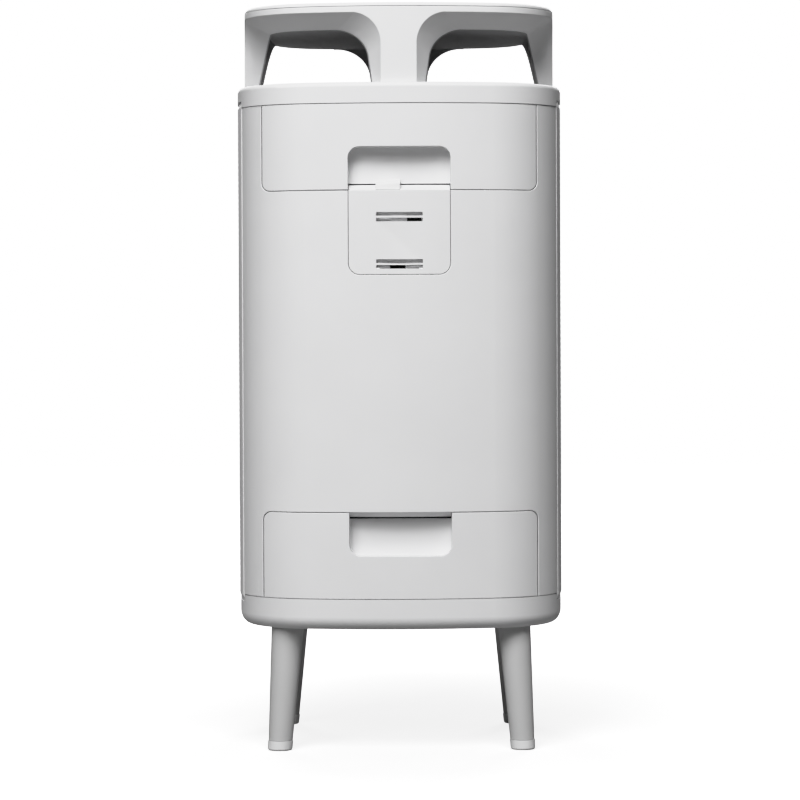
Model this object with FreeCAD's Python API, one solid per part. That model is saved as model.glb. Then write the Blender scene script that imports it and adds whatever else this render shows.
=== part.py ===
import FreeCAD, Part
import math
import os

# Floor-standing air purifier: a tall housing on four splayed legs with a side-table top.
# Air enters under the tabletop and between the legs, passes a filter drawer at each end,
# and leaves through the full-height grilles on the two sides.
# Frame: +Z up from the floor, origin under the centre, -Y is the service side with the drawers.
# Every length is in millimetres.

V = FreeCAD.Vector
UP = V(0, 0, 1)

# ---- driving dimensions -------------------------------------------------------------------

HEIGHT = 689.8
HALF_WIDTH = 153.0        # shell, seen from the service side
HALF_DEPTH = 141.5
FRONT_RADIUS = 381.5      # plan radius of the service side and of the side opposite
SIDE_RADIUS = 601.5       # plan radius of the two grille sides
CORNER_RADIUS = 81.5
WALL = 3.0

LID_GROW = 0.6            # how far each part's outline stands outside the shell's
GRILLE_GROW = 0.5
BASE_GROW = -0.3
TOP_GROW = -6.2

LEG_TOP = 118.0
BASE_BOTTOM = 114.3
BASE_TOP = 142.5
LID_BOTTOM = 597.6
LID_TOP = 616.6
TABLE_SEAM = 686.3
LID_RIM = 4.0             # edge radii of the lid and of the base
BASE_RIM = 11.0

SEAM = 0.4                # gap above and below the shell
SHELL_BOTTOM = BASE_TOP + SEAM
SHELL_TOP = LID_BOTTOM - SEAM
GRILLE_EDGE = 76.0        # the side grilles span this far each way along Y
PANEL_GAP = 0.7

DRAWER_HALF = 126.5
DRAWER_CORNER = 7.5
DRAWER_GAP = 0.6
UPPER_FRONT = (518.1, SHELL_TOP)
FRONT_MIRROR = (SHELL_TOP + SHELL_BOTTOM) / 2         # the two drawer faces mirror about this height
LOWER_FRONT = (SHELL_BOTTOM, 2 * FRONT_MIRROR - UPPER_FRONT[0])
DRAWER_PITCH = 377.0      # the lower filter drawer sits this far below the upper one
POCKET_HALF = 47.0
POCKET_HEIGHT = 39.6
POCKET_CORNER = 10.5
POCKET_BACK = -123.5      # face of the pocket's back wall
LEDGE_RISE = 5.0          # sloped ledge that closes the open end of each pocket
LEDGE_DEPTH = 16.0
LEDGE_GAP = 1.0

COVER_HALF = 46.6
COVER_BOTTOM = 440.6
COVER_TOP = 517.6
COVER_THICK = 2.5
COVER_CORNER = 10.3

TRAY_HALF = 121.0
TRAY_FRONT = -104.0
TRAY_BACK = 94.0
TRAY_Z = (525.0, 592.0)
BAY_HALF = 123.0
BAY_BACK = 96.5

DECK_Z = (506.5, 509.5)
FAN_MIDDLE = 368.75       # the fan section is mirrored about this height
IMPELLER_RADIUS = 92.0
SHAFT_RADIUS = 4.0

POST_HALF = 16.2          # crown post, half width on the outer face
POST_FLARE = 0.62         # widening per millimetre towards the inside
LINTEL_DROP = 14.0        # the lintel's underside falls this much over LINTEL_DEPTH
LINTEL_DEPTH = 23.5
WINDOW_TOP = 681.0
CROWN_WALL = 12.5         # wall thickness at the foot of a post
CEILING = WINDOW_TOP - LINTEL_DROP
ARCH = (29.0, 30.0)       # half axes of the elliptic corner beside each post

LEG_FOOT = (112.9, 101.3)     # leg axis at the floor
LEG_HEAD = (105.2, 93.6)      # leg axis at the base
LEG_RADII = (10.9, 15.2)      # at the floor and at the base
CAP_HEIGHT = 9.5

BUTTON_Y = 96.0           # control button on the tabletop, on the side away from the drawers
BUTTON_RADIUS = 9.0
BUTTON_GAP = 0.3

PARTS = {}


# ---- shared geometry ----------------------------------------------------------------------

def unit(x, y):
    length = math.hypot(x, y)
    return x / length, y / length


def corner_centre():
    """Centre of the corner arc in the quadrant x > 0, y < 0, tangent to both long arcs."""
    front_y = FRONT_RADIUS - HALF_DEPTH
    side_x = HALF_WIDTH - SIDE_RADIUS
    r_front = FRONT_RADIUS - CORNER_RADIUS
    r_side = SIDE_RADIUS - CORNER_RADIUS
    dx, dy = side_x, -front_y
    d = math.hypot(dx, dy)
    along = (r_front ** 2 - r_side ** 2 + d ** 2) / (2 * d)
    across = math.sqrt(r_front ** 2 - along ** 2)
    return along * dx / d - across * dy / d, front_y + along * dy / d + across * dx / d


CORNER = corner_centre()
FRONT_CENTRE = (0.0, FRONT_RADIUS - HALF_DEPTH)
SIDE_CENTRE = (HALF_WIDTH - SIDE_RADIUS, 0.0)


def tangent_point(centre, radius):
    """Point on a long arc where the corner arc starts."""
    ux, uy = unit(CORNER[0] - centre[0], CORNER[1] - centre[1])
    return centre[0] + radius * ux, centre[1] + radius * uy


def arc(p, q, r):
    return Part.Arc(V(*p), V(*q), V(*r)).toShape()


def outline(grow, z):
    """The housing's plan outline as a wire of eight tangent arcs, moved outwards by grow."""
    fx, fy = tangent_point(FRONT_CENTRE, FRONT_RADIUS + grow)
    sx, sy = tangent_point(SIDE_CENTRE, SIDE_RADIUS + grow)
    ux, uy = unit((fx + sx) / 2 - CORNER[0], (fy + sy) / 2 - CORNER[1])
    mx = CORNER[0] + (CORNER_RADIUS + grow) * ux
    my = CORNER[1] + (CORNER_RADIUS + grow) * uy
    hw, hd = HALF_WIDTH + grow, HALF_DEPTH + grow
    return Part.Wire([
        arc((-fx, fy, z), (0, -hd, z), (fx, fy, z)),
        arc((fx, fy, z), (mx, my, z), (sx, sy, z)),
        arc((sx, sy, z), (hw, 0, z), (sx, -sy, z)),
        arc((sx, -sy, z), (mx, -my, z), (fx, -fy, z)),
        arc((fx, -fy, z), (0, hd, z), (-fx, -fy, z)),
        arc((-fx, -fy, z), (-mx, -my, z), (-sx, -sy, z)),
        arc((-sx, -sy, z), (-hw, 0, z), (-sx, sy, z)),
        arc((-sx, sy, z), (-mx, my, z), (-fx, fy, z)),
    ])


def inset_of(point):
    """How far a point lies inside the shell's outline; negative outside."""
    x, y = abs(point.x), -abs(point.y)
    fx, fy = tangent_point(FRONT_CENTRE, FRONT_RADIUS)
    sx, sy = tangent_point(SIDE_CENTRE, SIDE_RADIUS)
    from_front = (x - FRONT_CENTRE[0], y - FRONT_CENTRE[1])
    if from_front[0] * (fy - FRONT_CENTRE[1]) - from_front[1] * fx > 0:
        return FRONT_RADIUS - math.hypot(*from_front)
    from_side = (x - SIDE_CENTRE[0], y - SIDE_CENTRE[1])
    if from_side[1] * (sx - SIDE_CENTRE[0]) - from_side[0] * sy > 0:
        return SIDE_RADIUS - math.hypot(*from_side)
    return CORNER_RADIUS - math.hypot(x - CORNER[0], y - CORNER[1])


def prism(grow, z0, z1):
    return Part.Face(outline(grow, z0)).extrude(V(0, 0, z1 - z0))


def ring(outer, inner, z0, z1):
    return prism(outer, z0, z1).cut(prism(inner, z0, z1))


def taper(grow0, z0, grow1, z1):
    """Solid between two offsets of the outline at two heights."""
    return Part.makeLoft([outline(grow0, z0), outline(grow1, z1)], True, True)


def box(x0, x1, y0, y1, z0, z1):
    return Part.makeBox(x1 - x0, y1 - y0, z1 - z0, V(x0, y0, z0))


def disc(radius, z0, z1, x=0.0, y=0.0):
    return Part.makeCylinder(radius, z1 - z0, V(x, y, z0), UP)


def tube(outer, inner, z0, z1, x=0.0, y=0.0):
    return disc(outer, z0, z1, x, y).cut(disc(inner, z0, z1, x, y))


def join(shapes):
    return shapes[0].multiFuse(shapes[1:]).removeSplitter()


def group(shapes):
    return Part.makeCompound(shapes)


def mirrored_x(shape):
    return shape.mirror(V(0, 0, 0), V(1, 0, 0))


def mirrored_z(shape, height):
    return shape.mirror(V(0, 0, height), V(0, 0, 1))


def moved(shape, x=0.0, y=0.0, z=0.0):
    copy = shape.copy()
    copy.translate(V(x, y, z))
    return copy


def plate_xz(half, z0, z1, y0, y1, low=0.0, high=0.0):
    """Upright plate, symmetric in X, with rounded lower or upper corners seen along Y."""
    shape = box(-half, half, y0, y1, z0, z1)
    for radius, height in ((low, z0), (high, z1)):
        if radius:
            edges = [e for e in shape.Edges
                     if all(abs(v.Z - height) < 1e-6 for v in e.Vertexes)
                     and abs(e.Vertexes[0].X - e.Vertexes[-1].X) < 1e-6]
            shape = shape.makeFillet(radius, edges)
    return shape


def soften(shape, grow, radius, keep=lambda e: True):
    """Round the edges that lie on the outer face at the given outline offset."""
    edges = []
    for edge in shape.Edges:
        points = [edge.valueAt(edge.FirstParameter + t * (edge.LastParameter - edge.FirstParameter))
                  for t in (0.02, 0.5, 0.98)]
        if all(abs(inset_of(p) + grow) < 0.02 for p in points) and keep(edge):
            edges.append(edge)
    return shape.makeFillet(radius, edges)


def part(name, shape):
    PARTS[name] = shape


# ---- tabletop and controls ----------------------------------------------------------------

LENS_SIZE = (26.0, 2.6)
LENS_Y = BUTTON_Y + 16.0
TABLE_UNDERSIDE = TABLE_SEAM + 0.4
BUTTON_TOP = HEIGHT - 0.2
SWITCH_TOP = 682.6


def tabletop():
    plate = prism(TOP_GROW, TABLE_UNDERSIDE, HEIGHT)
    rim = [e for e in plate.Edges if all(abs(v.Z - HEIGHT) < 1e-6 for v in e.Vertexes)]
    plate = plate.makeFillet(2.6, rim)
    plate = plate.fuse(prism(TOP_GROW - 2.5, TABLE_SEAM, TABLE_UNDERSIDE)).removeSplitter()
    plate = plate.cut(disc(BUTTON_RADIUS + BUTTON_GAP, TABLE_SEAM - 1, HEIGHT + 1, 0, BUTTON_Y))
    return plate.cut(slot_z(*LENS_SIZE, TABLE_SEAM - 1, HEIGHT + 1, LENS_Y))


def slot_z(length, width, z0, z1, y):
    """Round-ended bar along X, standing in Z."""
    half = length / 2 - width / 2
    return join([
        box(-half, half, y - width / 2, y + width / 2, z0, z1),
        disc(width / 2, z0, z1, -half, y),
        disc(width / 2, z0, z1, half, y),
    ])


def control_button():
    cap = disc(BUTTON_RADIUS, 686.0, BUTTON_TOP, 0, BUTTON_Y)
    rim = [e for e in cap.Edges if e.Vertexes[0].Z > BUTTON_TOP - 0.01 and e.isClosed()]
    cap = cap.makeFillet(0.6, rim)
    dish = Part.makeSphere(90.0, V(0, BUTTON_Y, BUTTON_TOP - 0.35 + 90.0))
    stem = disc(3.0, SWITCH_TOP + 1.0, 686.0, 0, BUTTON_Y)
    return cap.cut(dish).fuse(stem).removeSplitter()


def control_lens():
    return slot_z(*LENS_SIZE, TABLE_SEAM, HEIGHT - 0.1, LENS_Y)


def control_board():
    board = box(-34, 34, BUTTON_Y - 20, BUTTON_Y + 10, 676.0, 677.6)
    switch = box(-4, 4, BUTTON_Y - 4, BUTTON_Y + 4, 677.6, SWITCH_TOP)
    feet = [disc(3, CEILING + 4.6, 676.0, x, BUTTON_Y - 14) for x in (-28, 28)]
    chip = box(14, 26, BUTTON_Y - 16, BUTTON_Y - 6, 677.6, 679.4)
    return join([board, switch, chip] + feet)


# ---- crown: the four posts and corner windows that carry the tabletop -----------------------

def post_section(y_face, depth, arc_radius):
    """Front view of one post at a depth inside the crown's outer face: straight sides that
    open through a quarter ellipse into the sloping underside of the lintel."""
    half = POST_HALF + POST_FLARE * depth
    reach = half + ARCH[0]
    sag = reach ** 2 / (2 * arc_radius)
    top = WINDOW_TOP - LINTEL_DROP / LINTEL_DEPTH * (depth - sag) + 0.12
    y = y_face + depth
    foot, head = LID_TOP - 2.0, TABLE_SEAM - 2.0
    edges = []
    for side in (1, -1):
        centre = V(side * reach, y, top - ARCH[1])
        ellipse = Part.Ellipse(centre + V(0, 0, ARCH[1]), centre - V(side * ARCH[0], 0, 0), centre)
        crown_point = ellipse.parameter(centre + V(0, 0, ARCH[1]))
        side_point = ellipse.parameter(centre - V(side * ARCH[0], 0, 0))
        if side_point < crown_point:
            side_point += 2 * math.pi
        quarter = Part.ArcOfEllipse(ellipse, crown_point, side_point).toShape()
        edges += [
            Part.LineSegment(V(side * half, y, foot), V(side * half, y, top - ARCH[1])).toShape(),
            quarter,
            Part.LineSegment(V(side * reach, y, top), V(side * reach, y, head)).toShape(),
        ]
    edges.append(Part.LineSegment(V(-half, y, foot), V(half, y, foot)).toShape())
    edges.append(Part.LineSegment(V(-reach, y, head), V(reach, y, head)).toShape())
    return Part.Wire(Part.__sortEdges__(edges))


def post(face, arc_radius):
    """One post on the service side, running from outside the outer face to the inside."""
    sections = [post_section(-face, depth, arc_radius) for depth in (-6.0, 42.0)]
    return Part.makeLoft(sections, True, True)


def posts():
    made = []
    for half_span, arc_radius, turns in ((HALF_DEPTH, FRONT_RADIUS, (0, 180)),
                                         (HALF_WIDTH, SIDE_RADIUS, (90, 270))):
        for turn in turns:
            blank = post(half_span + TOP_GROW, arc_radius + TOP_GROW)
            blank.rotate(V(0, 0, 0), UP, turn)
            made.append(blank)
    return made


LINER = 1.0
FUNNEL_FOOT = TOP_GROW - CROWN_WALL
FUNNEL_HEAD = TOP_GROW - LINTEL_DEPTH


def crown():
    lintel = taper(FUNNEL_HEAD, CEILING, TOP_GROW, WINDOW_TOP)
    band = prism(TOP_GROW, WINDOW_TOP, TABLE_SEAM)
    body = prism(TOP_GROW, LID_TOP, TABLE_SEAM)
    inside = taper(FUNNEL_FOOT, LID_TOP, FUNNEL_HEAD, CEILING)
    legs = [p.common(body).cut(inside) for p in posts()]
    solid = join([lintel.fuse(band)] + legs)
    recess = prism(FUNNEL_HEAD, CEILING - 1, CEILING + LINER)
    hollow = taper(FUNNEL_HEAD - 3.0, CEILING + 4.6, TOP_GROW - 8.0, TABLE_SEAM - 3.0)
    well = prism(TOP_GROW - 8.0, TABLE_SEAM - 3.0, TABLE_SEAM)
    return solid.cut(recess).cut(hollow).cut(well).removeSplitter()


def intake_liner():
    """Dark lining of the air inlet: the ceiling and the inner faces of the posts."""
    outer = taper(FUNNEL_FOOT, LID_TOP, FUNNEL_HEAD, CEILING)
    inner = taper(FUNNEL_FOOT - LINER, LID_TOP, FUNNEL_HEAD - LINER, CEILING)
    wall = outer.cut(inner)
    strips = [p.common(wall) for p in posts()]
    return join([prism(FUNNEL_HEAD, CEILING, CEILING + LINER)] + strips)


# ---- lid, top grille and prefilter ----------------------------------------------------------

LID_OPENING = -25.5
SKIRT_BOTTOM = 598.0
NOTCH = 5.8               # how far the side grilles reach into the lid and the base


def notch(z0, z1):
    reach = GRILLE_EDGE + PANEL_GAP
    return ring(LID_GROW + 1, -WALL - 0.6, z0, z1).common(box(-200, 200, -reach, reach, z0, z1))


def lid():
    blank = prism(LID_GROW, LID_BOTTOM, LID_TOP)
    rim = [e for e in blank.Edges if all(abs(v.Z - LID_TOP) < 1e-6 for v in e.Vertexes)]
    blank = blank.makeFillet(LID_RIM, rim)
    blank = blank.cut(prism(LID_GROW - WALL, LID_BOTTOM, LID_TOP - 4.0))
    blank = blank.cut(prism(LID_OPENING, LID_BOTTOM, LID_TOP))
    skirt = ring(LID_OPENING + 2.0, LID_OPENING, SKIRT_BOTTOM, LID_TOP - 4.0)
    lip = ring(LID_OPENING + 2.0, LID_OPENING - 5.0, SKIRT_BOTTOM, SKIRT_BOTTOM + 3.0)
    bosses = [disc(7.0, SKIRT_BOTTOM, LID_TOP - 4.0, x, y) for x, y in ROD_PLACES]
    whole = join([blank, skirt, lip] + bosses)
    for x, y in ROD_PLACES:
        whole = whole.cut(disc(ROD_RADIUS, SKIRT_BOTTOM, ROD_TOP, x, y))
    return whole.cut(notch(LID_BOTTOM, LID_BOTTOM + NOTCH))


def top_intake_grille():
    z0, z1 = 605.0, 609.0
    frame = ring(LID_OPENING - 0.3, LID_OPENING - 5.0, z0, z1)
    field = prism(LID_OPENING - 4.0, z0, z1)
    pitch, bar = 7.0, 2.6
    count = int((HALF_DEPTH + LID_OPENING) / pitch)
    bars = [box(-140, 140, i * pitch - bar / 2, i * pitch + bar / 2, z0 + 0.6, z1)
            for i in range(-count, count + 1)]
    ribs = [box(x - 2, x + 2, -130, 130, z0, z1 - 1.0) for x in (-84, -42, 0, 42, 84)]
    return join([frame, group(bars + ribs).common(field)])


def top_prefilter():
    return prism(LID_OPENING - 0.6, SKIRT_BOTTOM + 3.0, 605.0)


# ---- shells and side grilles ----------------------------------------------------------------

def pocket_ledge(z_edge, direction, z_far):
    """Fixed sloping ledge that closes the open end of a finger pocket. direction is +1 where the
    ledge rises towards the inside and -1 where it falls."""
    z_in = z_edge + direction * LEDGE_RISE
    grow_out = -COVER_THICK - 0.3
    slope = taper(grow_out, z_edge, -LEDGE_DEPTH, z_in)
    if direction < 0:
        slope = taper(-LEDGE_DEPTH, z_in, grow_out, z_edge)
    foot = prism(grow_out, min(z_edge, z_far), max(z_edge, z_far))
    half = POCKET_HALF - 0.5
    field = box(-half, half, -HALF_DEPTH - 5, POCKET_BACK + 3.5, min(z_far, z_in), max(z_far, z_in))
    return slope.fuse(foot).removeSplitter().common(field)


def front_shell():
    edge = -GRILLE_EDGE - PANEL_GAP
    wall = ring(0, -WALL, SHELL_BOTTOM, SHELL_TOP)
    wall = wall.common(box(-200, 200, -200, edge, SHELL_BOTTOM, SHELL_TOP))
    half = DRAWER_HALF + DRAWER_GAP
    corner = DRAWER_CORNER + DRAWER_GAP
    upper = plate_xz(half, UPPER_FRONT[0] - DRAWER_GAP, SHELL_TOP + 5, -200, -95, low=corner)
    lower = plate_xz(half, SHELL_BOTTOM - 5, LOWER_FRONT[1] + DRAWER_GAP, -200, -95, high=corner)
    hatch = plate_xz(COVER_HALF + 0.4, COVER_BOTTOM - 0.4, UPPER_FRONT[0] + 5, -200, -95,
                     low=COVER_CORNER + 0.4)
    wall = wall.cut(upper).cut(lower).cut(hatch)
    wall = soften(wall, 0, 0.5)
    z_edge = LOWER_FRONT[1] + DRAWER_GAP
    return wall.fuse(pocket_ledge(z_edge, -1, z_edge + 6.0)).removeSplitter()


def rear_shell():
    edge = GRILLE_EDGE + PANEL_GAP
    wall = ring(0, -WALL, SHELL_BOTTOM, SHELL_TOP)
    wall = wall.common(box(-200, 200, edge, 200, SHELL_BOTTOM, SHELL_TOP))
    return soften(wall, 0, 0.5)


SLOT_ROWS, SLOT_COLUMNS = 78, 2
SLOT_PITCH = 5.6
SLOT_HEIGHT = 2.6
SLOT_LENGTH = 38.0
GRILLE_BEVEL = 1.6        # how far the ends lean inwards over the notch


def side_grille():
    """The right-hand outlet grille: a bowed panel with a field of level slots."""
    low, high = BASE_TOP - NOTCH + 0.6, LID_BOTTOM + NOTCH - 0.6
    body = join([
        taper(GRILLE_GROW - GRILLE_BEVEL, low, GRILLE_GROW, BASE_TOP),
        prism(GRILLE_GROW, BASE_TOP, LID_BOTTOM),
        taper(GRILLE_GROW, LID_BOTTOM, GRILLE_GROW - GRILLE_BEVEL, high),
    ])
    body = body.cut(prism(GRILLE_GROW - WALL, low - 1, high + 1))
    panel = body.common(box(100, 200, -GRILLE_EDGE, GRILLE_EDGE, low - 1, high + 1))
    panel = soften(panel, GRILLE_GROW, 0.4, lambda e: e.BoundBox.ZMax > e.BoundBox.ZMin + 300)
    middle = (SHELL_BOTTOM + SHELL_TOP) / 2
    slots = []
    for row in range(SLOT_ROWS):
        z = middle + (row - (SLOT_ROWS - 1) / 2) * SLOT_PITCH
        for column in range(SLOT_COLUMNS):
            y = (column - (SLOT_COLUMNS - 1) / 2) * (SLOT_LENGTH + 5.0)
            slots.append(slot_x(y, z))
    return panel.cut(group(slots))


def slot_x(y, z):
    """Round-ended cutter along Y, running through a side panel in X."""
    h, r = SLOT_LENGTH / 2 - SLOT_HEIGHT / 2, SLOT_HEIGHT / 2
    x = 130.0
    wire = Part.Wire([
        Part.LineSegment(V(x, y - h, z - r), V(x, y + h, z - r)).toShape(),
        arc((x, y + h, z - r), (x, y + h + r, z), (x, y + h, z + r)),
        Part.LineSegment(V(x, y + h, z + r), V(x, y - h, z + r)).toShape(),
        arc((x, y - h, z + r), (x, y - h - r, z), (x, y - h, z - r)),
    ])
    return Part.Face(wire).extrude(V(40, 0, 0))


# ---- filter drawers -------------------------------------------------------------------------

def drawer_front(z0, z1):
    """Bowed drawer face with a finger pocket that is open at its lower edge."""
    face = plate_xz(DRAWER_HALF, z0, z1, -200, -60, low=DRAWER_CORNER)
    wall = ring(0, -WALL, z0, z1).common(face)
    skin = 2.0
    shroud = plate_xz(POCKET_HALF + skin, z0, z0 + POCKET_HEIGHT + skin, -200, POCKET_BACK + skin,
                      high=POCKET_CORNER + skin)
    cavity = plate_xz(POCKET_HALF, z0 - 1, z0 + POCKET_HEIGHT, -200, POCKET_BACK, high=POCKET_CORNER)
    front = soften(wall.cut(cavity), 0, 0.5)
    shroud = shroud.common(prism(-1.2, z0, z1)).cut(cavity)
    slit = box(-POCKET_HALF, POCKET_HALF, POCKET_BACK - 1, -100, z0 - 1, z0 + LEDGE_RISE + LEDGE_GAP)
    return front.fuse(shroud.cut(slit)).removeSplitter()


def drawer_tray():
    """Open frame behind the upper drawer face, with a lip that the filter rests on."""
    z0, z1 = TRAY_Z
    outer = box(-TRAY_HALF, TRAY_HALF, TRAY_FRONT, TRAY_BACK, z0, z1)
    inner = box(-TRAY_HALF + 2, TRAY_HALF - 2, TRAY_FRONT + 2, TRAY_BACK - 2, z0 + 2, z1)
    hole = box(-TRAY_HALF + 10, TRAY_HALF - 10, TRAY_FRONT + 10, TRAY_BACK - 10, z0, z0 + 2)
    frame = outer.cut(inner).cut(hole)
    flanges = [box(*sorted((s * TRAY_HALF, s * (TRAY_HALF + 1.4))), TRAY_FRONT, TRAY_BACK,
                   RUNNER_Z[1] + 0.4, RUNNER_Z[1] + 3.4) for s in (-1, 1)]
    arms = [box(*sorted((s * 56, s * 96)), -150, TRAY_FRONT + 1, z, z + 12).common(
        prism(-WALL, z, z + 12)) for s in (-1, 1) for z in (z0 + 2, z1 - 14)]
    return join([frame] + flanges + arms)


RUNNER_Z = (548.0, 552.0)


def runners():
    bars = [box(*sorted((s * (TRAY_HALF + 0.4), s * BAY_HALF)), TRAY_FRONT + 6, TRAY_BACK, *RUNNER_Z)
            for s in (-1, 1)]
    return group(bars)


def filter_frame():
    z0, z1 = TRAY_Z[0] + 2, TRAY_Z[1] - 2
    half, y0, y1 = TRAY_HALF - 2.5, TRAY_FRONT + 2.5, TRAY_BACK - 2.5
    return box(-half, half, y0, y1, z0, z1).cut(box(-half + 3, half - 3, y0 + 3, y1 - 3, z0, z1))


def filter_pleats():
    """Folded filter paper: a zigzag band that fills the frame."""
    z0, z1 = TRAY_Z[0] + 5, TRAY_Z[1] - 5
    half, y0, y1 = TRAY_HALF - 5.5, TRAY_FRONT + 5.5, TRAY_BACK - 5.5
    folds = 36
    step = (y1 - y0) / folds
    thick = 1.4 * (z1 - z0) / step
    upper = [V(-half, y0 + i * step, z1 if i % 2 else z0 + thick) for i in range(folds + 1)]
    lower = [V(-half, y0 + i * step, z1 - thick if i % 2 else z0) for i in range(folds + 1)]
    band = Part.Face(Part.makePolygon(upper + lower[::-1] + upper[:1]))
    return band.extrude(V(2 * half, 0, 0))


def filter_seal():
    z = TRAY_Z[1] - 2
    half, y0, y1 = TRAY_HALF - 3, TRAY_FRONT + 3, TRAY_BACK - 3
    return box(-half, half, y0, y1, z, z + 4).cut(box(-half + 6, half - 6, y0 + 6, y1 - 6, z, z + 4))


def drawer_bay():
    """Guide box around the upper drawer, open at the front, above and below."""
    z0, z1 = DECK_Z[1], SKIRT_BOTTOM - 0.5
    outer = box(-BAY_HALF - 2, BAY_HALF + 2, TRAY_FRONT + 2, BAY_BACK + 2, z0, z1)
    return outer.cut(box(-BAY_HALF, BAY_HALF, TRAY_FRONT, BAY_BACK, z0, z1))


def pull_tab_section(x, top):
    """Side view of the ribbon at one edge: out of the pocket wall, over, and down."""
    y0, y1, end, t = POCKET_BACK, -137.7, UPPER_FRONT[0] + 0.4, 0.9
    over = top - 1.6
    bend = over - 2.2
    edges = [
        Part.LineSegment(V(x, y0, top - t), V(x, y0, top)).toShape(),
        Part.LineSegment(V(x, y0, top), V(x, y1 + 3.2, over)).toShape(),
        arc((x, y1 + 3.2, over), (x, y1 + 0.8, over - 0.8), (x, y1, bend)),
        Part.LineSegment(V(x, y1, bend), V(x, y1 - 0.4, end)).toShape(),
        Part.LineSegment(V(x, y1 - 0.4, end), V(x, y1 - 0.4 + t, end)).toShape(),
        Part.LineSegment(V(x, y1 - 0.4 + t, end), V(x, y1 + t, bend - 0.1)).toShape(),
        arc((x, y1 + t, bend - 0.1), (x, y1 + 1.6, over - 1.3), (x, y1 + 3.2, over - t)),
        Part.LineSegment(V(x, y1 + 3.2, over - t), V(x, y0, top - t)).toShape(),
    ]
    return Part.Wire(edges)


def pull_tab():
    return Part.makeLoft([pull_tab_section(-21.6, 525.9), pull_tab_section(0.7, 527.9)], True, True)


# ---- air-quality sensor ---------------------------------------------------------------------

SENSOR_SLOT_HALF = 21.3
SENSOR_SLOT_Z = (447.45, 452.65, 490.65, 495.85)
SENSOR_SLOT_H = 3.3


def sensor_cover():
    """Bowed hatch over the sensor; two toes behind the wall below are what it tilts on."""
    plate = ring(0, -COVER_THICK, COVER_BOTTOM, COVER_TOP)
    plate = plate.common(plate_xz(COVER_HALF, COVER_BOTTOM, COVER_TOP, -200, -95, low=COVER_CORNER))
    plate = soften(plate, 0, 0.4, lambda e: e.BoundBox.ZMax < COVER_TOP - 0.1)
    for z in SENSOR_SLOT_Z:
        plate = plate.cut(box(-SENSOR_SLOT_HALF, SENSOR_SLOT_HALF, -200, -95,
                              z - SENSOR_SLOT_H / 2, z + SENSOR_SLOT_H / 2))
    shell_back = -HALF_DEPTH + WALL
    toes = []
    for s in (-1, 1):
        x0, x1 = sorted((s * 18, s * 28))
        toes.append(box(x0, x1, shell_back + 1.6, shell_back + 3.2, COVER_BOTTOM - 4, COVER_BOTTOM + 6))
        toes.append(box(x0, x1, shell_back - 0.9, shell_back + 3.2, COVER_BOTTOM + 2, COVER_BOTTOM + 6))
    return join([plate] + toes)


def sensor_bay():
    """Box behind the hatch; its roof is the ledge of the upper finger pocket."""
    half, back = COVER_HALF + 2.6, -109.0
    z0, z1 = COVER_BOTTOM - 8.0, COVER_TOP - 1.0
    outer = box(-half, half, -150, back, z0, z1)
    inner = box(-half + 2, half - 2, -150, back - 2, z0 + 2, z1 - 2)
    shell = outer.cut(inner).common(prism(-WALL - 0.1, z0, z1))
    return join([shell, pocket_ledge(COVER_TOP + 0.3, 1, z1 - 2)])


MODULE_FACE = -133.4      # lower part of the module, clear of the hatch's toes as they swing
PLATE_FACE = -136.0       # raised plate above it
PLATE_BOTTOM = 450.0
BOSS_FACE = -137.2
MODULE_PORTS = ((7.0, 20.2, 486.5, 493.7), (-8.9, 5.5, 443.4, 451.3))    # x0, x1, z0, z1
DUCT_BACK = -119.5


def sensor_module():
    """Particle sensor: a flat box with two air ports, a raised plate and a boss by the hatch."""
    body = box(-27, 27, MODULE_FACE, -113, COVER_BOTTOM + 2, 503)
    plate = box(-27, 27, PLATE_FACE, MODULE_FACE, PLATE_BOTTOM, 503)
    boss = box(-8.9, 6.8, BOSS_FACE, PLATE_FACE, 486, 500)
    module = join([body, plate, boss])
    for port in MODULE_PORTS:
        module = module.cut(box(*port[:2], PLATE_FACE, DUCT_BACK, *port[2:]))
    return module


def sensor_ducts():
    """Dark linings of the module's two air ports."""
    t = 0.8
    ducts = []
    for face, (x0, x1, z0, z1) in zip((PLATE_FACE, MODULE_FACE), MODULE_PORTS):
        duct = box(x0, x1, face, DUCT_BACK, z0, z1)
        ducts.append(duct.cut(box(x0 + t, x1 - t, face, DUCT_BACK - t, z0 + t, z1 - t)))
    return group(ducts)


def sensor_board():
    board = box(-34, 34, -113, -111.4, COVER_BOTTOM, 508)
    plug = box(-9, 9, -120, -113, 503.5, 507.5)
    return board.fuse(plug).removeSplitter()


# ---- fan section ----------------------------------------------------------------------------

BAFFLE_RADIUS = 104.0
MOTOR_RADIUS = 44.0
MOTOR_HALF = 27.0         # half height of the motor


def upper_deck():
    """Divider between the upper filter and the fan, with the inlet ring."""
    plate = box(-BAY_HALF - 2, BAY_HALF + 2, -102, BAY_BACK + 2, *DECK_Z)
    collar = tube(78.5, 76.0, DECK_Z[0] - 6.5, DECK_Z[1])
    return plate.cut(disc(76.0, *DECK_Z)).fuse(collar).removeSplitter()


def baffle(angle):
    """Curved wall that closes one blind side of the fan section."""
    z0, z1 = 2 * FAN_MIDDLE - DECK_Z[0], DECK_Z[0]
    wall = tube(BAFFLE_RADIUS + 2.5, BAFFLE_RADIUS, z0, z1)
    sector = Part.makeCylinder(150, z1 - z0, V(0, 0, z0), UP, 96)
    sector.rotate(V(0, 0, 0), UP, angle - 48)
    return wall.common(sector)


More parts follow.
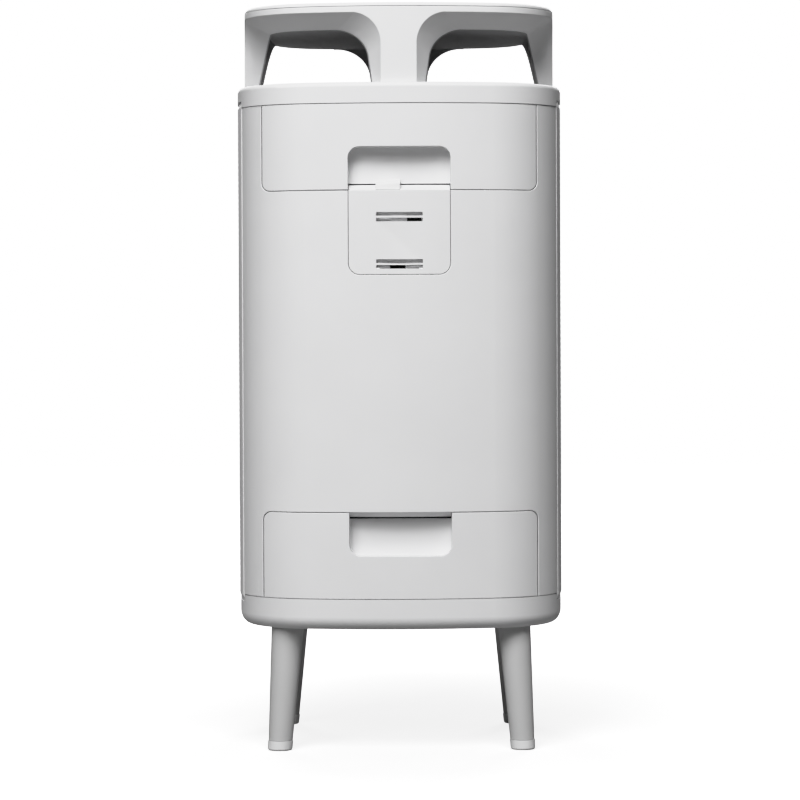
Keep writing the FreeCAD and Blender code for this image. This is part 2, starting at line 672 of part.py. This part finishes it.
def motor_plate():
    z0, z1 = FAN_MIDDLE - 2, FAN_MIDDLE + 2
    hub = tube(58, MOTOR_RADIUS, z0, z1)
    arms = [box(-12, 12, *sorted((s * 50, s * (BAFFLE_RADIUS + 1))), z0, z1) for s in (-1, 1)]
    arms += [box(*sorted((s * 20, s * 60)), *sorted((t * 50, t * 100)), z0, z1).common(
        disc(BAFFLE_RADIUS, z0, z1)) for s in (-1, 1) for t in (-1, 1)]
    return join([hub] + arms).common(disc(BAFFLE_RADIUS, z0, z1))


def motor():
    can = disc(MOTOR_RADIUS, FAN_MIDDLE - MOTOR_HALF, FAN_MIDDLE + MOTOR_HALF)
    flange = tube(50, MOTOR_RADIUS - 1, FAN_MIDDLE + 2, FAN_MIDDLE + 5)
    bore = disc(8, FAN_MIDDLE - MOTOR_HALF, FAN_MIDDLE + MOTOR_HALF)
    return can.fuse(flange).removeSplitter().cut(bore)


def motor_bearings():
    heights = (FAN_MIDDLE - MOTOR_HALF, FAN_MIDDLE + MOTOR_HALF - 6)
    return group([tube(8, SHAFT_RADIUS + 0.04, z, z + 6) for z in heights])


def rotor_shaft():
    return disc(SHAFT_RADIUS, FAN_MIDDLE - 118, FAN_MIDDLE + 118)


BLADES = 11


def blade(z0, z1):
    """One backward-curved blade as a thin bent plate."""
    inner, outer, t = 58.0, IMPELLER_RADIUS - 1.0, 1.6
    lean = math.radians(38)
    p0 = V(inner, 0, z0)
    p2 = V(outer * math.cos(lean), outer * math.sin(lean), z0)
    chord = p2 - p0
    side = V(chord.y, -chord.x, 0).normalize()
    p1 = p0 + chord * 0.5 + side * 7.0
    edges = [
        Part.Arc(p0, p1, p2).toShape(),
        Part.LineSegment(p2, p2 + side * t).toShape(),
        Part.Arc(p2 + side * t, p1 + side * t, p0 + side * t).toShape(),
        Part.LineSegment(p0 + side * t, p0).toShape(),
    ]
    return Part.Face(Part.Wire(edges)).extrude(V(0, 0, z1 - z0))


def upper_impeller():
    """Centrifugal wheel with its eye upwards and a skirt that closes the gap to the motor."""
    z0, z1 = FAN_MIDDLE + 46, FAN_MIDDLE + 118
    back = disc(IMPELLER_RADIUS, z0, z0 + 2.5)
    hub = disc(15, z0 + 2.5, z0 + 34)
    skirt = tube(MOTOR_RADIUS, MOTOR_RADIUS - 3, FAN_MIDDLE + MOTOR_HALF + 0.8, z0)
    shroud = tube(IMPELLER_RADIUS, 80, z1, z1 + 2.5)
    lip = tube(82, 80, z1, DECK_Z[0] - 4)
    blank = blade(z0 + 2.5, z1)
    blades = []
    for i in range(BLADES):
        copy = blank.copy()
        copy.rotate(V(0, 0, 0), UP, i * 360.0 / BLADES)
        blades.append(copy)
    wheel = join([back, hub, skirt, shroud, lip] + blades)
    return wheel.cut(disc(SHAFT_RADIUS, z0 - 1, z0 + 35))


def ioniser_bars():
    """Charging bars across the air stream, one by each filter."""
    bar = box(-BAY_HALF, BAY_HALF, -6, 6, DECK_Z[1], DECK_Z[1] + 5)
    pins = [disc(0.8, DECK_Z[1] + 5, DECK_Z[1] + 10, x, 0) for x in range(-60, 61, 30)]
    upper = join([bar] + pins)
    return group([upper, mirrored_z(upper, FAN_MIDDLE)])


def power_board():
    """Power supply and fan drive on one board between the rear baffle and the rear shell."""
    y = 112.0
    board = box(-70, 70, y, y + 1.6, 262, 402)
    cans = []
    for x, z, radius in ((-44, 290, 9), (-18, 290, 9), (42, 372, 7)):
        cans.append(Part.makeCylinder(radius, 18, V(x, y + 1.6, z), V(0, 1, 0)))
    coil = box(20, 58, y + 1.6, y + 19, 280, 318)
    sink = box(-60, -10, y + 1.6, y + 14, 340, 366)
    standoffs = [Part.makeCylinder(2.5, 5, V(x, y - 5, z), V(0, 1, 0))
                 for x in (-30, 30) for z in (270, 394)]
    return join([board, coil, sink] + cans + standoffs)


# ---- base, legs and fixings -----------------------------------------------------------------

INTAKE_RADIUS = 98.0
INLET_Y = -118.0
ROD_PLACES = [(x, y) for x in (-135.0, 135.0) for y in (-62.0, 62.0)]
ROD_RADIUS = 4.0
ROD_TOP = LID_TOP - 8.0
FLOOR_TOP = BASE_BOTTOM + 3.5
SCREW_PLACES = [(x, y) for x in (-62.0, 62.0) for y in (-118.0, 118.0)] + [(-128.0, 0), (128.0, 0)]
LEG_SIDES = [(x_side, y_side) for x_side in (-1, 1) for y_side in (-1, 1)]
BOSS_TOP = BASE_BOTTOM + 22.0


def leg_axis(x_side, y_side):
    foot = V(x_side * LEG_FOOT[0], y_side * LEG_FOOT[1], 0)
    head = V(x_side * LEG_HEAD[0], y_side * LEG_HEAD[1], LEG_TOP)
    return foot, (head - foot).normalize()


def cone_on_axis(x_side, y_side, z0, z1, extra=0.0):
    """Stretch of a leg between two heights, cut level at both ends."""
    foot, along = leg_axis(x_side, y_side)
    r0, r1 = LEG_RADII[0] + extra, LEG_RADII[1] + extra
    length = LEG_TOP / along.z
    slope = (r1 - r0) / length
    over = 8.0
    solid = Part.makeCone(r0 - slope * over, r1 + slope * over, length + 2 * over,
                          foot - along * over, along)
    return solid.common(box(-200, 200, -200, 200, z0, z1))


def leg(x_side, y_side):
    return cone_on_axis(x_side, y_side, CAP_HEIGHT, BASE_BOTTOM).cut(stud(x_side, y_side))


def foot_cap(x_side, y_side):
    """Pale glide on the leg's end, a little wider than the leg, with a rounded tread."""
    cap = cone_on_axis(x_side, y_side, 0, CAP_HEIGHT - 0.3, 0.5)
    low = [e for e in cap.Edges if e.BoundBox.ZMax < 0.01]
    return cap.makeFillet(2.0, low)


def stud(x_side, y_side):
    foot, along = leg_axis(x_side, y_side)
    start = foot + along * ((BASE_BOTTOM - 26.0) / along.z)
    return Part.makeCylinder(4.0, 44.0, start, along)


def screw(x, y, z):
    """Countersunk screw with its head flush at height z."""
    head = Part.makeCone(4.0, 2.0, 2.4, V(x, y, z), UP)
    return head.fuse(disc(2.0, z + 2.4, z + 16.0, x, y)).removeSplitter()


def screw_group():
    return group([screw(x, y, BASE_BOTTOM) for x, y in SCREW_PLACES])


def base():
    blank = prism(BASE_GROW, BASE_BOTTOM, BASE_TOP)
    rim = [e for e in blank.Edges if all(abs(v.Z - BASE_BOTTOM) < 1e-6 for v in e.Vertexes)]
    blank = blank.makeFillet(BASE_RIM, rim)
    inner, bend = BASE_GROW - WALL, FLOOR_TOP + 8
    blank = blank.cut(prism(inner, bend, BASE_TOP)).cut(taper(inner - 7, FLOOR_TOP, inner, bend))
    collar = tube(INTAKE_RADIUS + 2, INTAKE_RADIUS, BASE_BOTTOM, FLOOR_TOP + 8)
    lip = tube(INTAKE_RADIUS + 2, INTAKE_RADIUS - 3, FLOOR_TOP + 1.5, FLOOR_TOP + 3)
    ties = [disc(7.0, FLOOR_TOP - 1, FLOOR_TOP + 12, x, y) for x, y in ROD_PLACES]
    posts_up = [disc(5.0, FLOOR_TOP - 1, BOSS_TOP, x, y) for x, y in SCREW_PLACES]
    sockets = [disc(11.0, FLOOR_TOP - 1, BOSS_TOP, x_side * LEG_HEAD[0], y_side * LEG_HEAD[1])
               for x_side, y_side in LEG_SIDES]
    housing = box(-17, 17, INLET_Y - 11, INLET_Y + 11, BASE_BOTTOM + 0.5, FLOOR_TOP + 14)
    whole = join([blank.cut(disc(INTAKE_RADIUS, BASE_BOTTOM, FLOOR_TOP)), collar, lip, housing]
                 + ties + posts_up + sockets)
    whole = whole.cut(box(-15, 15, INLET_Y - 9, INLET_Y + 9, BASE_BOTTOM - 1, FLOOR_TOP + 12))
    for x, y in ROD_PLACES:
        whole = whole.cut(disc(ROD_RADIUS, FLOOR_TOP + 1, FLOOR_TOP + 13, x, y))
    for x_side, y_side in LEG_SIDES:
        whole = whole.cut(stud(x_side, y_side))
    whole = whole.cut(screw_group())
    whole = whole.cut(notch(BASE_TOP - NOTCH, BASE_TOP))
    return whole


def power_inlet():
    """Two-pin mains socket that faces down out of the base."""
    body = box(-15, 15, INLET_Y - 9, INLET_Y + 9, BASE_BOTTOM + 0.6, FLOOR_TOP + 12)
    mouth = join([disc(4.6, BASE_BOTTOM, BASE_BOTTOM + 13, x, INLET_Y) for x in (-4.4, 4.4)]
                 + [box(-4.4, 4.4, INLET_Y - 4.6, INLET_Y + 4.6, BASE_BOTTOM, BASE_BOTTOM + 13)])
    pins = [disc(1.2, BASE_BOTTOM + 3, BASE_BOTTOM + 14, x, INLET_Y) for x in (-4.3, 4.3)]
    return join([body.cut(mouth)] + pins)


def bottom_intake_grille():
    z0, z1 = BASE_BOTTOM + 0.8, FLOOR_TOP + 1.5
    rings = [tube(INTAKE_RADIUS - 0.4, INTAKE_RADIUS - 4, z0, z1), disc(14, z0, z1)]
    rings += [tube(r + 1.3, r - 1.3, z0, z1) for r in range(22, int(INTAKE_RADIUS) - 4, 8)]
    spokes = []
    for i in range(4):
        bar = box(-INTAKE_RADIUS + 2, INTAKE_RADIUS - 2, -1.5, 1.5, z0 + 0.8, z1)
        bar.rotate(V(0, 0, 0), UP, 45 * i + 22.5)
        spokes.append(bar)
    return join(rings + spokes)


def bottom_prefilter():
    return disc(INTAKE_RADIUS - 0.5, FLOOR_TOP + 3, FLOOR_TOP + 7)


def tie_rods():
    return group([disc(ROD_RADIUS, FLOOR_TOP + 1, ROD_TOP, x, y) for x, y in ROD_PLACES])


# ---- assembly -------------------------------------------------------------------------------

def build():
    part("tabletop", tabletop())
    part("control_button", control_button())
    part("control_lens", control_lens())
    part("control_board", control_board())
    part("crown", crown())
    part("intake_liner", intake_liner())
    part("lid", lid())
    part("top_intake_grille", top_intake_grille())
    part("top_prefilter", top_prefilter())
    part("front_shell", front_shell())
    part("rear_shell", rear_shell())
    right = side_grille()
    part("side_grille_right", right)
    part("side_grille_left", mirrored_x(right))

    front = drawer_front(*UPPER_FRONT)
    fronts = {"upper": front, "lower": mirrored_z(front, FRONT_MIRROR)}
    for level, drop in (("upper", 0.0), ("lower", -DRAWER_PITCH)):
        part(level + "_drawer_front", fronts[level])
        part(level + "_drawer_tray", moved(drawer_tray(), z=drop))
        part(level + "_filter_frame", moved(filter_frame(), z=drop))
        part(level + "_filter_pleats", moved(filter_pleats(), z=drop))
        part(level + "_filter_seal", moved(filter_seal(), z=drop))
        part(level + "_runners", moved(runners(), z=drop))
    part("pull_tab", pull_tab())

    bay = drawer_bay()
    part("upper_drawer_bay", bay)
    part("lower_drawer_bay", mirrored_z(bay, FAN_MIDDLE))
    deck = upper_deck()
    part("upper_deck", deck)
    part("lower_deck", mirrored_z(deck, FAN_MIDDLE))
    part("fan_baffle_front", baffle(270))
    part("fan_baffle_rear", baffle(90))
    part("motor_plate", motor_plate())
    part("motor", motor())
    part("motor_bearings", motor_bearings())
    part("rotor_shaft", rotor_shaft())
    wheel = upper_impeller()
    part("upper_impeller", wheel)
    part("lower_impeller", mirrored_z(wheel, FAN_MIDDLE))
    part("ioniser_bars", ioniser_bars())
    part("power_board", power_board())

    part("sensor_cover", sensor_cover())
    part("sensor_bay", sensor_bay())
    part("sensor_module", sensor_module())
    part("sensor_ducts", sensor_ducts())
    part("sensor_board", sensor_board())

    part("base", base())
    part("bottom_intake_grille", bottom_intake_grille())
    part("bottom_prefilter", bottom_prefilter())
    part("power_inlet", power_inlet())
    part("tie_rods", tie_rods())
    part("base_screws", screw_group())
    studs = []
    for y_name, y_side in (("front", -1), ("rear", 1)):
        for x_name, x_side in (("left", -1), ("right", 1)):
            part(f"leg_{y_name}_{x_name}", leg(x_side, y_side))
            part(f"foot_cap_{y_name}_{x_name}", foot_cap(x_side, y_side))
            studs.append(stud(x_side, y_side))
    part("leg_studs", group(studs))


build()
os.makedirs("parts", exist_ok=True)
for name, shape in PARTS.items():
    shape.exportStep(f"parts/{name}.step")
    print(f"{name:24s} solids {len(shape.Solids)} valid {shape.isValid()} {shape.Volume / 1000:9.2f} cm3")
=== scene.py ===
import math

import bpy
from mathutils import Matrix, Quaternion, Vector


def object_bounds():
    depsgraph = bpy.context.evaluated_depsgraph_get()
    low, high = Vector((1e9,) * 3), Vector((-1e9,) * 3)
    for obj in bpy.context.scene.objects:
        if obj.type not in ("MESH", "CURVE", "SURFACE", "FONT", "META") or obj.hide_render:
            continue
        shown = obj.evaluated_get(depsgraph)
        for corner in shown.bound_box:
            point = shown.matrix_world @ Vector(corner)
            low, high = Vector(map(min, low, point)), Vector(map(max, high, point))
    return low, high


# Air purifier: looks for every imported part, the studio around it and the camera.
# Lengths are in metres, and MM is one millimetre.

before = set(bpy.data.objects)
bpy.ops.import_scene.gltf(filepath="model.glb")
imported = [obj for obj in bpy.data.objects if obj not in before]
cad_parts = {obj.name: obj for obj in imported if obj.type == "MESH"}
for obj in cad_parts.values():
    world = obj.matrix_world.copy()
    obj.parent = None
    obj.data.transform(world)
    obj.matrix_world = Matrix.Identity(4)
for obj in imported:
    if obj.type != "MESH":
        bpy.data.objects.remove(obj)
CAD_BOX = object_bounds()
CENTRE = (CAD_BOX[0] + CAD_BOX[1]) / 2
MM = 0.001
BACKDROP = 1.7          # brightness of the white backdrop, to the eye
AMBIENT = 0.02          # light from the dim surroundings
LAMP_DISTANCE = 4.0     # from the object's centre
LAMP_HEIGHT = 1.8
VIEW_DISTANCE = 3.13    # from the object's axis to the camera
EYE_HEIGHT = 0.394


# ---- material building ----------------------------------------------------------------------

class Nodes:
    """A node tree and short ways to add to it."""

    def __init__(self, tree):
        self.tree = tree

    def add(self, kind, inputs=None, **settings):
        made = self.tree.nodes.new(kind)
        for key, value in settings.items():
            setattr(made, key, value)
        for socket, value in (inputs or {}).items():
            self.feed(made.inputs[socket], value)
        return made

    def feed(self, socket, value):
        if isinstance(value, bpy.types.NodeSocket):
            self.tree.links.new(value, socket)
        else:
            socket.default_value = value

    def math(self, operation, a, b):
        return self.add("ShaderNodeMath", {0: a, 1: b}, operation=operation).outputs[0]

    def span(self, value, low, high, start=0.3, end=0.7):
        """Maps the value's start..end to low..high."""
        inputs = {"Value": value, "From Min": start, "From Max": end, "To Min": low, "To Max": high}
        return self.add("ShaderNodeMapRange", inputs).outputs[0]


class Finish(Nodes):
    """One Principled material and the patterns that feed it."""

    def __init__(self, name, **sockets):
        self.material = bpy.data.materials.new(name)
        self.material.use_nodes = True
        super().__init__(self.material.node_tree)
        self.shader = self.tree.nodes["Principled BSDF"]
        self.place = self.add("ShaderNodeTexCoord").outputs["Object"]
        self.set(**sockets)

    def set(self, **sockets):
        for name, value in sockets.items():
            self.feed(self.shader.inputs[name.replace("_", " ")], value)

    def stretched(self, x=1.0, y=1.0, z=1.0):
        return self.add("ShaderNodeMapping", {"Vector": self.place, "Scale": (x, y, z)}).outputs[0]

    def noise(self, size, detail=2.0, place=None):
        """Soft noise whose features are about size metres across."""
        inputs = {"Vector": place or self.place, "Scale": 1.0 / size, "Detail": detail}
        return self.add("ShaderNodeTexNoise", inputs).outputs["Fac"]

    def cells(self, size):
        """Distance to the middle of the nearest cell, for cells of about size metres."""
        inputs = {"Vector": self.place, "Scale": 1.0 / size}
        return self.add("ShaderNodeTexVoronoi", inputs).outputs["Distance"]

    def threads(self, pitch, axis, place):
        """Parallel threads across one axis, as a rounded ridge profile."""
        inputs = {"Vector": place, "Scale": math.pi / 10 / pitch}
        made = self.add("ShaderNodeTexWave", inputs, bands_direction=axis, wave_profile="SIN")
        return made.outputs["Fac"]

    def mix(self, factor, a, b):
        """Blends two colours, which are sockets 6 and 7 of the node."""
        inputs = {0: factor, 6: opaque(a), 7: opaque(b)}
        return self.add("ShaderNodeMix", inputs, data_type="RGBA").outputs[2]

    def bump(self, *layers, edge=0.0):
        """Stacks bumps; each layer is a height and its depth in metres."""
        normal = self.add("ShaderNodeBevel", {"Radius": edge}, samples=6).outputs[0] if edge else None
        for height, depth in layers:
            inputs = {"Height": height, "Distance": depth, "Strength": 1.0}
            if normal:
                inputs["Normal"] = normal
            normal = self.add("ShaderNodeBump", inputs).outputs[0]
        self.set(Normal=normal)


def opaque(colour):
    return (*colour, 1.0) if isinstance(colour, tuple) else colour


def tone(colour, factor):
    return tuple(min(1.0, c * factor) for c in colour)


# ---- the finishes ---------------------------------------------------------------------------

def moulded(name, colour, roughness, depth=0.006 * MM, spread=0.012, edge=0.0):
    """Injection-moulded plastic: fine spark-eroded grain with a faint unevenness of tone. edge is
    the radius by which sharp edges look softened."""
    made = Finish(name)
    fine = made.noise(0.45 * MM, 3.0)
    broad = made.noise(60 * MM)
    made.set(Base_Color=made.mix(made.span(broad, 0, 1), tone(colour, 1 - spread), tone(colour, 1 + spread)),
             Roughness=made.span(made.noise(9 * MM, 4.0), roughness - 0.03, roughness + 0.03))
    made.bump((fine, depth), (made.noise(25 * MM), 0.02 * MM), edge=edge)
    return made


def woven(name, colour, pitch, depth, gap_tone=0.35, axes=("X", "Y"), **sockets):
    """Plain weave: two sets of threads with dark gaps between them."""
    made = Finish(name, **sockets)
    wobble = made.add("ShaderNodeVectorMath", {0: made.noise(6 * MM), 1: (0.3 * MM,) * 3},
                      operation="MULTIPLY").outputs[0]
    place = made.add("ShaderNodeVectorMath", {0: made.place, 1: wobble}, operation="ADD").outputs[0]
    first, second = (made.threads(pitch, axis, place) for axis in axes)
    cover = made.math("MAXIMUM", first, second)
    made.set(Base_Color=made.mix(made.span(cover, 0, 1, 0.45, 0.8), tone(colour, gap_tone), colour),
             Roughness=made.span(made.noise(0.3 * MM, 3.0), 0.75, 0.95))
    made.bump((cover, depth))
    return made


def metal(name, colour, roughness, stretch):
    """Metal with fine drawn lines and small changes of gloss."""
    made = Finish(name, Metallic=1.0)
    lines = made.noise(0.6 * MM, 4.0, made.stretched(*stretch))
    made.set(Base_Color=made.mix(made.span(lines, 0, 1), tone(colour, 0.9), tone(colour, 1.08)),
             Roughness=made.span(lines, roughness - 0.06, roughness + 0.08))
    made.bump((lines, 0.004 * MM))
    return made


def paper(name):
    """Pleated filter medium: matted white fibres."""
    made = Finish(name, Sheen_Weight=0.2)
    fibres = made.noise(0.5 * MM, 5.0, made.stretched(0.25, 1.0, 1.0))
    clumps = made.noise(4 * MM, 3.0)
    made.set(Base_Color=made.mix(made.span(clumps, 0, 1), (0.8, 0.8, 0.775), (0.9, 0.9, 0.885)),
             Roughness=made.span(fibres, 0.82, 0.98))
    made.bump((fibres, 0.05 * MM), (clumps, 0.08 * MM))
    return made


def foam(name):
    """Open-cell sealing foam."""
    made = Finish(name)
    pores = made.cells(0.8 * MM)
    made.set(Base_Color=made.mix(made.span(pores, 0, 1, 0.1, 0.5), (0.13, 0.13, 0.13), (0.05, 0.05, 0.05)),
             Roughness=made.span(pores, 0.85, 1.0, 0.1, 0.6))
    made.bump((pores, -0.25 * MM))
    return made


def board(name):
    """Solder mask over copper tracks, with bright pads."""
    made = Finish(name)
    upright = made.add("ShaderNodeMapping", {"Vector": made.place, "Rotation": (math.pi / 2, 0, 0)})
    tracks = made.add("ShaderNodeTexBrick", {
        "Vector": upright.outputs[0], "Scale": 1.0,
        "Brick Width": 9 * MM, "Row Height": 3 * MM, "Mortar Size": 0.35 * MM,
    }).outputs["Fac"]
    pads = made.span(made.cells(5 * MM), 1, 0, 0.16, 0.2)
    mask = made.mix(tracks, (0.02, 0.14, 0.06), (0.045, 0.24, 0.11))
    made.set(Base_Color=made.mix(pads, mask, (0.78, 0.66, 0.38)),
             Roughness=made.span(made.noise(2 * MM, 3.0), 0.28, 0.42))
    made.bump((tracks, 0.05 * MM), (pads, 0.08 * MM))
    return made


def lens(name):
    """Smoked window over the control lights."""
    made = Finish(name, Coat_Weight=0.6, Coat_Roughness=0.05, Transmission_Weight=0.25, IOR=1.49)
    haze = made.noise(3 * MM, 3.0)
    made.set(Base_Color=made.mix(made.span(haze, 0, 1), (0.50, 0.50, 0.49), (0.56, 0.56, 0.55)),
             Roughness=made.span(haze, 0.12, 0.2))
    made.bump((haze, 0.002 * MM))
    return made


SHELL = (0.78, 0.78, 0.785)

FINISHES = {
    "housing_plastic": moulded("housing_plastic", SHELL, 0.55, edge=0.4 * MM),
    "crown": moulded("crown_plastic", SHELL, 0.55, edge=1.2 * MM),
    "grille_plastic": moulded("grille_plastic", SHELL, 0.55),
    "intake_plastic": moulded("intake_plastic", (0.30, 0.30, 0.305), 0.6, depth=0.012 * MM, spread=0.06),
    "prefilter_fabric": woven("prefilter_fabric", (0.15, 0.15, 0.16), 1.6 * MM, 0.3 * MM, Sheen_Weight=0.3),
    "button_plastic": moulded("button_plastic", (0.72, 0.72, 0.725), 0.42, depth=0.003 * MM),
    "lens_plastic": lens("lens_plastic"),
    "circuit_board": board("circuit_board"),
    "inner_plastic": moulded("inner_plastic", (0.45, 0.45, 0.46), 0.5, depth=0.008 * MM, spread=0.03),
    "fan_plastic": moulded("fan_plastic", (0.16, 0.16, 0.17), 0.42, depth=0.004 * MM, spread=0.05),
    "motor_metal": metal("motor_metal", (0.42, 0.42, 0.43), 0.42, (0.05, 0.05, 1.0)),
    "steel": metal("steel", (0.66, 0.66, 0.67), 0.3, (1.0, 1.0, 0.06)),
    "filter_frame_plastic": moulded("filter_frame_plastic", (0.70, 0.71, 0.72), 0.5, spread=0.02),
    "filter_paper": paper("filter_paper"),
    "seal_foam": foam("seal_foam"),
    "ribbon": woven("ribbon", (0.84, 0.84, 0.84), 0.7 * MM, 0.06 * MM, gap_tone=0.86, axes=("X", "Z"),
                    Sheen_Weight=0.25),
    "sensor_plastic": moulded("sensor_plastic", (0.88, 0.88, 0.89), 0.5, spread=0.04),
    "socket_plastic": moulded("socket_plastic", (0.03, 0.03, 0.03), 0.4, spread=0.08),
    "leg_plastic": moulded("leg_plastic", (0.57, 0.57, 0.57), 0.5, depth=0.004 * MM),
    "foot_plastic": moulded("foot_plastic", (0.82, 0.82, 0.82), 0.38, depth=0.002 * MM, spread=0.02),
}


def dress():
    """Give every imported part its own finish, or else that of its material slot."""
    for name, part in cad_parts.items():
        for place in part.material_slots:
            slot = place.material.name.split(".")[0]
            place.material = FINISHES[name if name in FINISHES else slot].material


# ---- studio ---------------------------------------------------------------------------------

def add_world():
    """A plain white backdrop for the eye; the light it sheds is dim."""
    world = bpy.data.worlds.new("studio")
    world.use_nodes = True
    world.node_tree.nodes.clear()
    made = Nodes(world.node_tree)
    dim, white = (made.add("ShaderNodeBackground", {"Color": (1, 1, 1, 1), "Strength": strength}).outputs[0]
                  for strength in (AMBIENT, BACKDROP))
    seen = made.add("ShaderNodeLightPath").outputs["Is Camera Ray"]
    both = made.add("ShaderNodeMixShader", {0: seen, 1: dim, 2: white}).outputs[0]
    made.add("ShaderNodeOutputWorld", {"Surface": both})
    bpy.context.scene.world = world


def add_floor():
    """Wide pale floor that shows only a faint shadow and runs into the white backdrop. To the eye it
    glows, more so away from the object, and reflects more than it throws back on the object."""
    half = 6.0
    onto_object, to_eye = 0.21, 0.9     # the share of light it reflects
    near, far = 0.25, 1.1               # radii between which the glow grows from dim to BACKDROP
    dim = 0.8
    mesh = bpy.data.meshes.new("floor")
    corners = [(-half, -half, 0), (half, -half, 0), (half, half, 0), (-half, half, 0)]
    mesh.from_pydata(corners, [], [(0, 1, 2, 3)])
    floor = bpy.data.objects.new("floor", mesh)
    bpy.context.scene.collection.objects.link(floor)
    material = bpy.data.materials.new("floor")
    material.use_nodes = True
    material.node_tree.nodes.clear()
    made = Nodes(material.node_tree)
    seen = made.add("ShaderNodeLightPath").outputs["Is Camera Ray"]
    albedo = made.span(seen, onto_object, to_eye, 0, 1)
    pale = made.add("ShaderNodeBsdfDiffuse", {"Color": albedo}).outputs[0]
    place = made.add("ShaderNodeTexCoord").outputs["Object"]
    reach = made.add("ShaderNodeVectorMath", {0: place}, operation="LENGTH").outputs["Value"]
    fade = made.span(reach, dim, BACKDROP, near, far)
    glow = made.add("ShaderNodeEmission", {"Strength": made.math("MULTIPLY", seen, fade)}).outputs[0]
    total = made.add("ShaderNodeAddShader", {0: pale, 1: glow}).outputs[0]
    made.add("ShaderNodeOutputMaterial", {"Surface": total})
    mesh.materials.append(material)


def add_softbox(name, azimuth, elevation, width, strength):
    """Soft light seen from the object's centre at the given angles; azimuth 0 is the service side
    and grows to the right. strength is how bright a white surface that faces it becomes."""
    data = bpy.data.lights.new(name, "AREA")
    data.shape = "RECTANGLE"
    data.size, data.size_y = width, LAMP_HEIGHT
    data.energy = strength * (math.pi * LAMP_DISTANCE) ** 2
    lamp = bpy.data.objects.new(name, data)
    a, e = math.radians(azimuth), math.radians(elevation)
    direction = Vector((math.sin(a) * math.cos(e), -math.cos(a) * math.cos(e), math.sin(e)))
    lamp.location = CENTRE + direction * LAMP_DISTANCE
    lamp.rotation_mode = "QUATERNION"
    lamp.rotation_quaternion = direction.to_track_quat("Z", "Y")
    lamp.visible_camera = False
    bpy.context.scene.collection.objects.link(lamp)


def add_lights():
    add_softbox("key", -22, 36, 1.8, 0.53)
    add_softbox("front", 1, 50, 1.8, 0.66)
    for name, azimuth in (("rear_left", -163), ("rear_right", 163)):
        add_softbox(name, azimuth, 25, 1.2, 0.34)


def add_camera():
    """Camera square on to the service side and a little above the object's middle."""
    lean = math.radians(-0.24)
    data = bpy.data.cameras.new("camera")
    data.lens = 147.0
    data.sensor_width = 36.0
    data.shift_y = -0.0294
    data.clip_end = 100.0
    camera = bpy.data.objects.new("camera", data)
    camera.location = (0.0, -VIEW_DISTANCE, EYE_HEIGHT)
    camera.rotation_mode = "QUATERNION"
    aim = (CENTRE - camera.location).to_track_quat("-Z", "Y")
    camera.rotation_quaternion = aim @ Quaternion((0, 0, 1), lean)
    bpy.context.scene.collection.objects.link(camera)
    bpy.context.scene.camera = camera


def set_tone():
    """Plain tones with a soft shoulder: the brightest faces keep their shading below the backdrop."""
    shoulder = ((0.35, 0.35), (0.70, 0.70), (0.86, 0.81), (1.05, 0.865), (1.35, 0.92))
    view = bpy.context.scene.view_settings
    view.view_transform = "Standard"
    view.use_curve_mapping = True
    mapping = view.curve_mapping
    mapping.clip_max_x = BACKDROP
    combined = mapping.curves[3]
    combined.points[1].location = (BACKDROP, 1.0)
    for light, shown in shoulder:
        combined.points.new(light, shown)
    mapping.update()


dress()
add_world()
add_floor()
add_lights()
add_camera()
set_tone()
